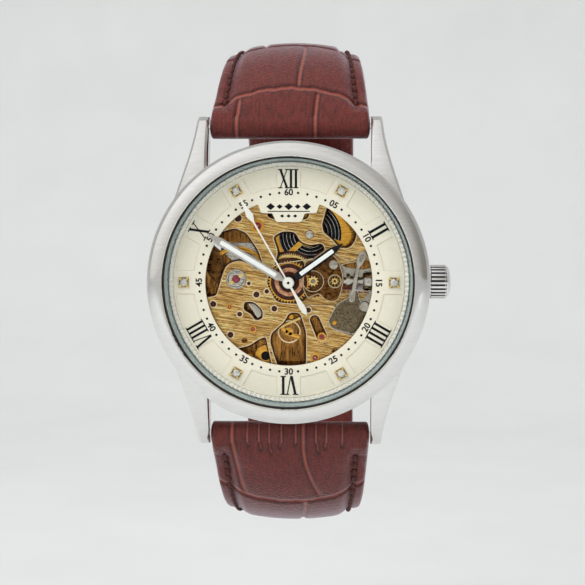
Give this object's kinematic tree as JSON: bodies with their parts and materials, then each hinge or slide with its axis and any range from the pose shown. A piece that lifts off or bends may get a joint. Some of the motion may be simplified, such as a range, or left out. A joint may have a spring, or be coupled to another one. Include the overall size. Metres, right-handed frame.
{
  "type": "skeleton wristwatch",
  "caption": "Hand-wound skeleton wristwatch: round polished steel case, cream dial ring with Roman numerals round an openwork brass movement, display back and stitched brown leather strap.",
  "frame": {"origin": "centre of the caseback glass's outer face, on the axis of the hands", "axes": "+Z towards 12 o'clock, +X towards the crown at 3 o'clock, +Y out of the back towards the wrist; the dial faces -Y"},
  "size_m": [0.0421, 0.0631, 0.0733],
  "materials": {
    "polished_steel": "mirror-polished stainless steel",
    "sapphire": "clear domed crystal",
    "back_glass": "clear flat display glass",
    "gasket_rubber": "black moulded gasket",
    "rehaut_metal": "blue-grey satin inner flange",
    "dial_enamel": "cream lacquer with black printed numerals",
    "streaked_brass": "fine brushed streaks with bright bevelled edges",
    "bridge_brass": "fine brushed gilt brass",
    "gold_wheel": "polished gilt wheels",
    "movement_steel": "finely brushed steel",
    "dark_steel": "dark oxidised, finely speckled steel",
    "grey_steel": "satin grey steel",
    "spring_steel": "blued dark spring steel",
    "copper": "rose copper washer",
    "ruby": "polished synthetic ruby",
    "black_hand": "gloss black with white lume",
    "silver_hand": "satin silver with white lume",
    "brown_leather": "dark red-brown leather embossed with large scales, stitched edges"
  },
  "bodies": {
    "case": {"case_middle": "polished_steel", "bezel": "polished_steel", "crystal": "sapphire", "crystal_gasket": "gasket_rubber", "rehaut_ring": "rehaut_metal", "dial": "dial_enamel", "caseback_ring": "polished_steel", "caseback_glass": "back_glass", "caseback_gasket": "gasket_rubber", "movement_holder": "streaked_brass", "crown_tube": "polished_steel", "spring_bar_upper": "polished_steel", "spring_bar_lower": "polished_steel", "main_plate": "streaked_brass", "barrel_bridge": "bridge_brass", "train_bridge": "bridge_brass", "balance_cock": "bridge_brass", "pallet_bridge": "bridge_brass", "balance_jewel_ring": "movement_steel", "balance_jewel": "ruby", "hairspring": "spring_steel", "dial_washer": "copper", "motion_works_cover": "dark_steel", "setting_lever_jumper": "dark_steel", "setting_lever_screw": "movement_steel", "jumper_screw": "gold_wheel"},
    "barrel": {"barrel_drum": "gold_wheel", "barrel_lid": "gold_wheel", "mainspring": "spring_steel"},
    "centre_arbor": {"centre_wheel": "gold_wheel", "cannon_pinion": "movement_steel", "minute_hand": "silver_hand"},
    "third_arbor": {"third_wheel": "gold_wheel"},
    "fourth_arbor": {"fourth_wheel": "gold_wheel", "seconds_hand": "silver_hand"},
    "escape_arbor": {"escape_wheel": "movement_steel"},
    "lever_fork": {"pallet_fork": "movement_steel"},
    "balance": {"balance_wheel": "gold_wheel"},
    "minute_train": {"minute_wheel": "dark_steel"},
    "hour_pipe": {"hour_wheel": "dark_steel", "hour_hand": "black_hand"},
    "setting_train": {"setting_wheel": "dark_steel"},
    "winding_sleeve": {"winding_pinion": "movement_steel"},
    "crown_and_stem": {"stem": "movement_steel", "crown": "polished_steel"},
    "clutch": {"sliding_pinion": "movement_steel"},
    "crown_train": {"crown_wheel": "movement_steel"},
    "ratchet": {"ratchet_wheel": "movement_steel", "barrel_arbor": "movement_steel"},
    "click_pawl": {"click": "movement_steel"},
    "setting_lever_arm": {"setting_lever": "grey_steel"},
    "yoke_arm": {"yoke": "grey_steel"},
    "upper_strap": {"strap_upper": "brown_leather", "keeper_fixed": "brown_leather", "buckle_bar": "polished_steel"},
    "free_keeper": {"keeper_sliding": "brown_leather"},
    "lower_strap": {"strap_lower": "brown_leather"},
    "buckle": {"buckle_frame": "polished_steel"},
    "tongue": {"buckle_tongue": "polished_steel"}
  },
  "joints": [
    {"name": "time_running", "type": "hinge", "parent": "case", "child": "centre_arbor", "pos_m": [0, -0.0043, 0], "axis": [0, 1, 0], "continuous": true},
    {"name": "barrel_turn", "type": "hinge", "parent": "case", "child": "barrel", "pos_m": [0.00287, -0.0035, 0.00662], "axis": [0, 1, 0], "continuous": true},
    {"name": "third_wheel_turn", "type": "hinge", "parent": "case", "child": "third_arbor", "pos_m": [0.0027, -0.0035, -0.0035], "axis": [0, 1, 0], "continuous": true},
    {"name": "seconds_turn", "type": "hinge", "parent": "case", "child": "fourth_arbor", "pos_m": [0, -0.0025, 0], "axis": [0, 1, 0], "continuous": true},
    {"name": "escape_wheel_turn", "type": "hinge", "parent": "case", "child": "escape_arbor", "pos_m": [-0.00211, -0.0034, -0.00384], "axis": [0, 1, 0], "continuous": true},
    {"name": "minute_wheel_turn", "type": "hinge", "parent": "case", "child": "minute_train", "pos_m": [0.00337, -0.0051, 0.00013], "axis": [0, 1, 0], "continuous": true},
    {"name": "hour_turn", "type": "hinge", "parent": "case", "child": "hour_pipe", "pos_m": [0, -0.0056, 0], "axis": [0, 1, 0], "continuous": true},
    {"name": "setting_wheel_turn", "type": "hinge", "parent": "case", "child": "setting_train", "pos_m": [0.00638, -0.0051, 0.00012], "axis": [0, 1, 0], "continuous": true},
    {"name": "fork_rock", "type": "hinge", "parent": "case", "child": "lever_fork", "pos_m": [-0.0047, -0.0034, -0.004], "axis": [0, 1, 0], "range_deg": [-4, 4]},
    {"name": "balance_swing", "type": "hinge", "parent": "case", "child": "balance", "pos_m": [-0.0074, -0.003, 0.0004], "axis": [0, 1, 0], "range_deg": [-270, 270], "stiffness_Nm_per_rad": 0.0000005},
    {"name": "crown_turn", "type": "hinge", "parent": "case", "child": "winding_sleeve", "pos_m": [0.011, -0.0038, 0], "axis": [1, 0, 0], "continuous": true},
    {"name": "crown_pull", "type": "slide", "parent": "winding_sleeve", "child": "crown_and_stem", "axis": [1, 0, 0], "range_m": [0, 0.0012]},
    {"name": "clutch_slide", "type": "slide", "parent": "winding_sleeve", "child": "clutch", "axis": [1, 0, 0], "range_m": [-0.0007, 0]},
    {"name": "crown_wheel_turn", "type": "hinge", "parent": "case", "child": "crown_train", "pos_m": [0.00935, -0.0022, 0.0027], "axis": [0, 1, 0], "continuous": true},
    {"name": "ratchet_turn", "type": "hinge", "parent": "case", "child": "ratchet", "pos_m": [0.00287, -0.0022, 0.00662], "axis": [0, 1, 0], "continuous": true},
    {"name": "click_rock", "type": "hinge", "parent": "case", "child": "click_pawl", "pos_m": [-0.0026, -0.0022, 0.0086], "axis": [0, 1, 0], "range_deg": [0, 8], "stiffness_Nm_per_rad": 0.0002},
    {"name": "setting_lever_rock", "type": "hinge", "parent": "case", "child": "setting_lever_arm", "pos_m": [0.0105, -0.0052, -0.0034], "axis": [0, 1, 0], "range_deg": [0, 24.1]},
    {"name": "yoke_rock", "type": "hinge", "parent": "case", "child": "yoke_arm", "pos_m": [0.0083, -0.0055, -0.005], "axis": [0, 1, 0], "range_deg": [-10.8, 0]},
    {"name": "strap_open", "type": "hinge", "parent": "case", "child": "upper_strap", "pos_m": [0, -0.0024, 0.0218], "axis": [1, 0, 0], "range_deg": [0, 60]},
    {"name": "strap_lower_swing", "type": "hinge", "parent": "case", "child": "lower_strap", "pos_m": [0, -0.0024, -0.0218], "axis": [1, 0, 0], "range_deg": [-60, 0]},
    {"name": "keeper_slide", "type": "hinge", "parent": "upper_strap", "child": "free_keeper", "pos_m": [0, 0.0165, 0], "axis": [1, 0, 0], "range_deg": [-4, 22]},
    {"name": "buckle_hinge", "type": "hinge", "parent": "upper_strap", "child": "buckle", "pos_m": [0, 0.0505, -0.0024], "axis": [1, 0, 0], "range_deg": [0, 60]},
    {"name": "tongue_hinge", "type": "hinge", "parent": "buckle", "child": "tongue", "pos_m": [0, 0.0505, -0.0024], "axis": [1, 0, 0], "range_deg": [0, 60]}
  ],
  "couplings": [
    {"joint": "barrel_turn", "follows": "time_running", "ratio": -0.16667},
    {"joint": "third_wheel_turn", "follows": "time_running", "ratio": -8},
    {"joint": "seconds_turn", "follows": "time_running", "ratio": 60},
    {"joint": "escape_wheel_turn", "follows": "time_running", "ratio": -720},
    {"joint": "minute_wheel_turn", "follows": "time_running", "ratio": -0.5},
    {"joint": "hour_turn", "follows": "time_running", "ratio": 0.083333},
    {"joint": "setting_wheel_turn", "follows": "time_running", "ratio": 1.5},
    {"joint": "crown_wheel_turn", "follows": "crown_turn", "ratio": 0.38889},
    {"joint": "ratchet_turn", "follows": "crown_turn", "ratio": -0.25},
    {"joint": "clutch_slide", "follows": "crown_pull", "ratio": -0.58333},
    {"joint": "setting_lever_rock", "follows": "crown_pull", "rad_per_m": 350},
    {"joint": "yoke_rock", "follows": "crown_pull", "rad_per_m": -155},
    {"joint": "strap_lower_swing", "follows": "strap_open", "ratio": -1}
  ]
}
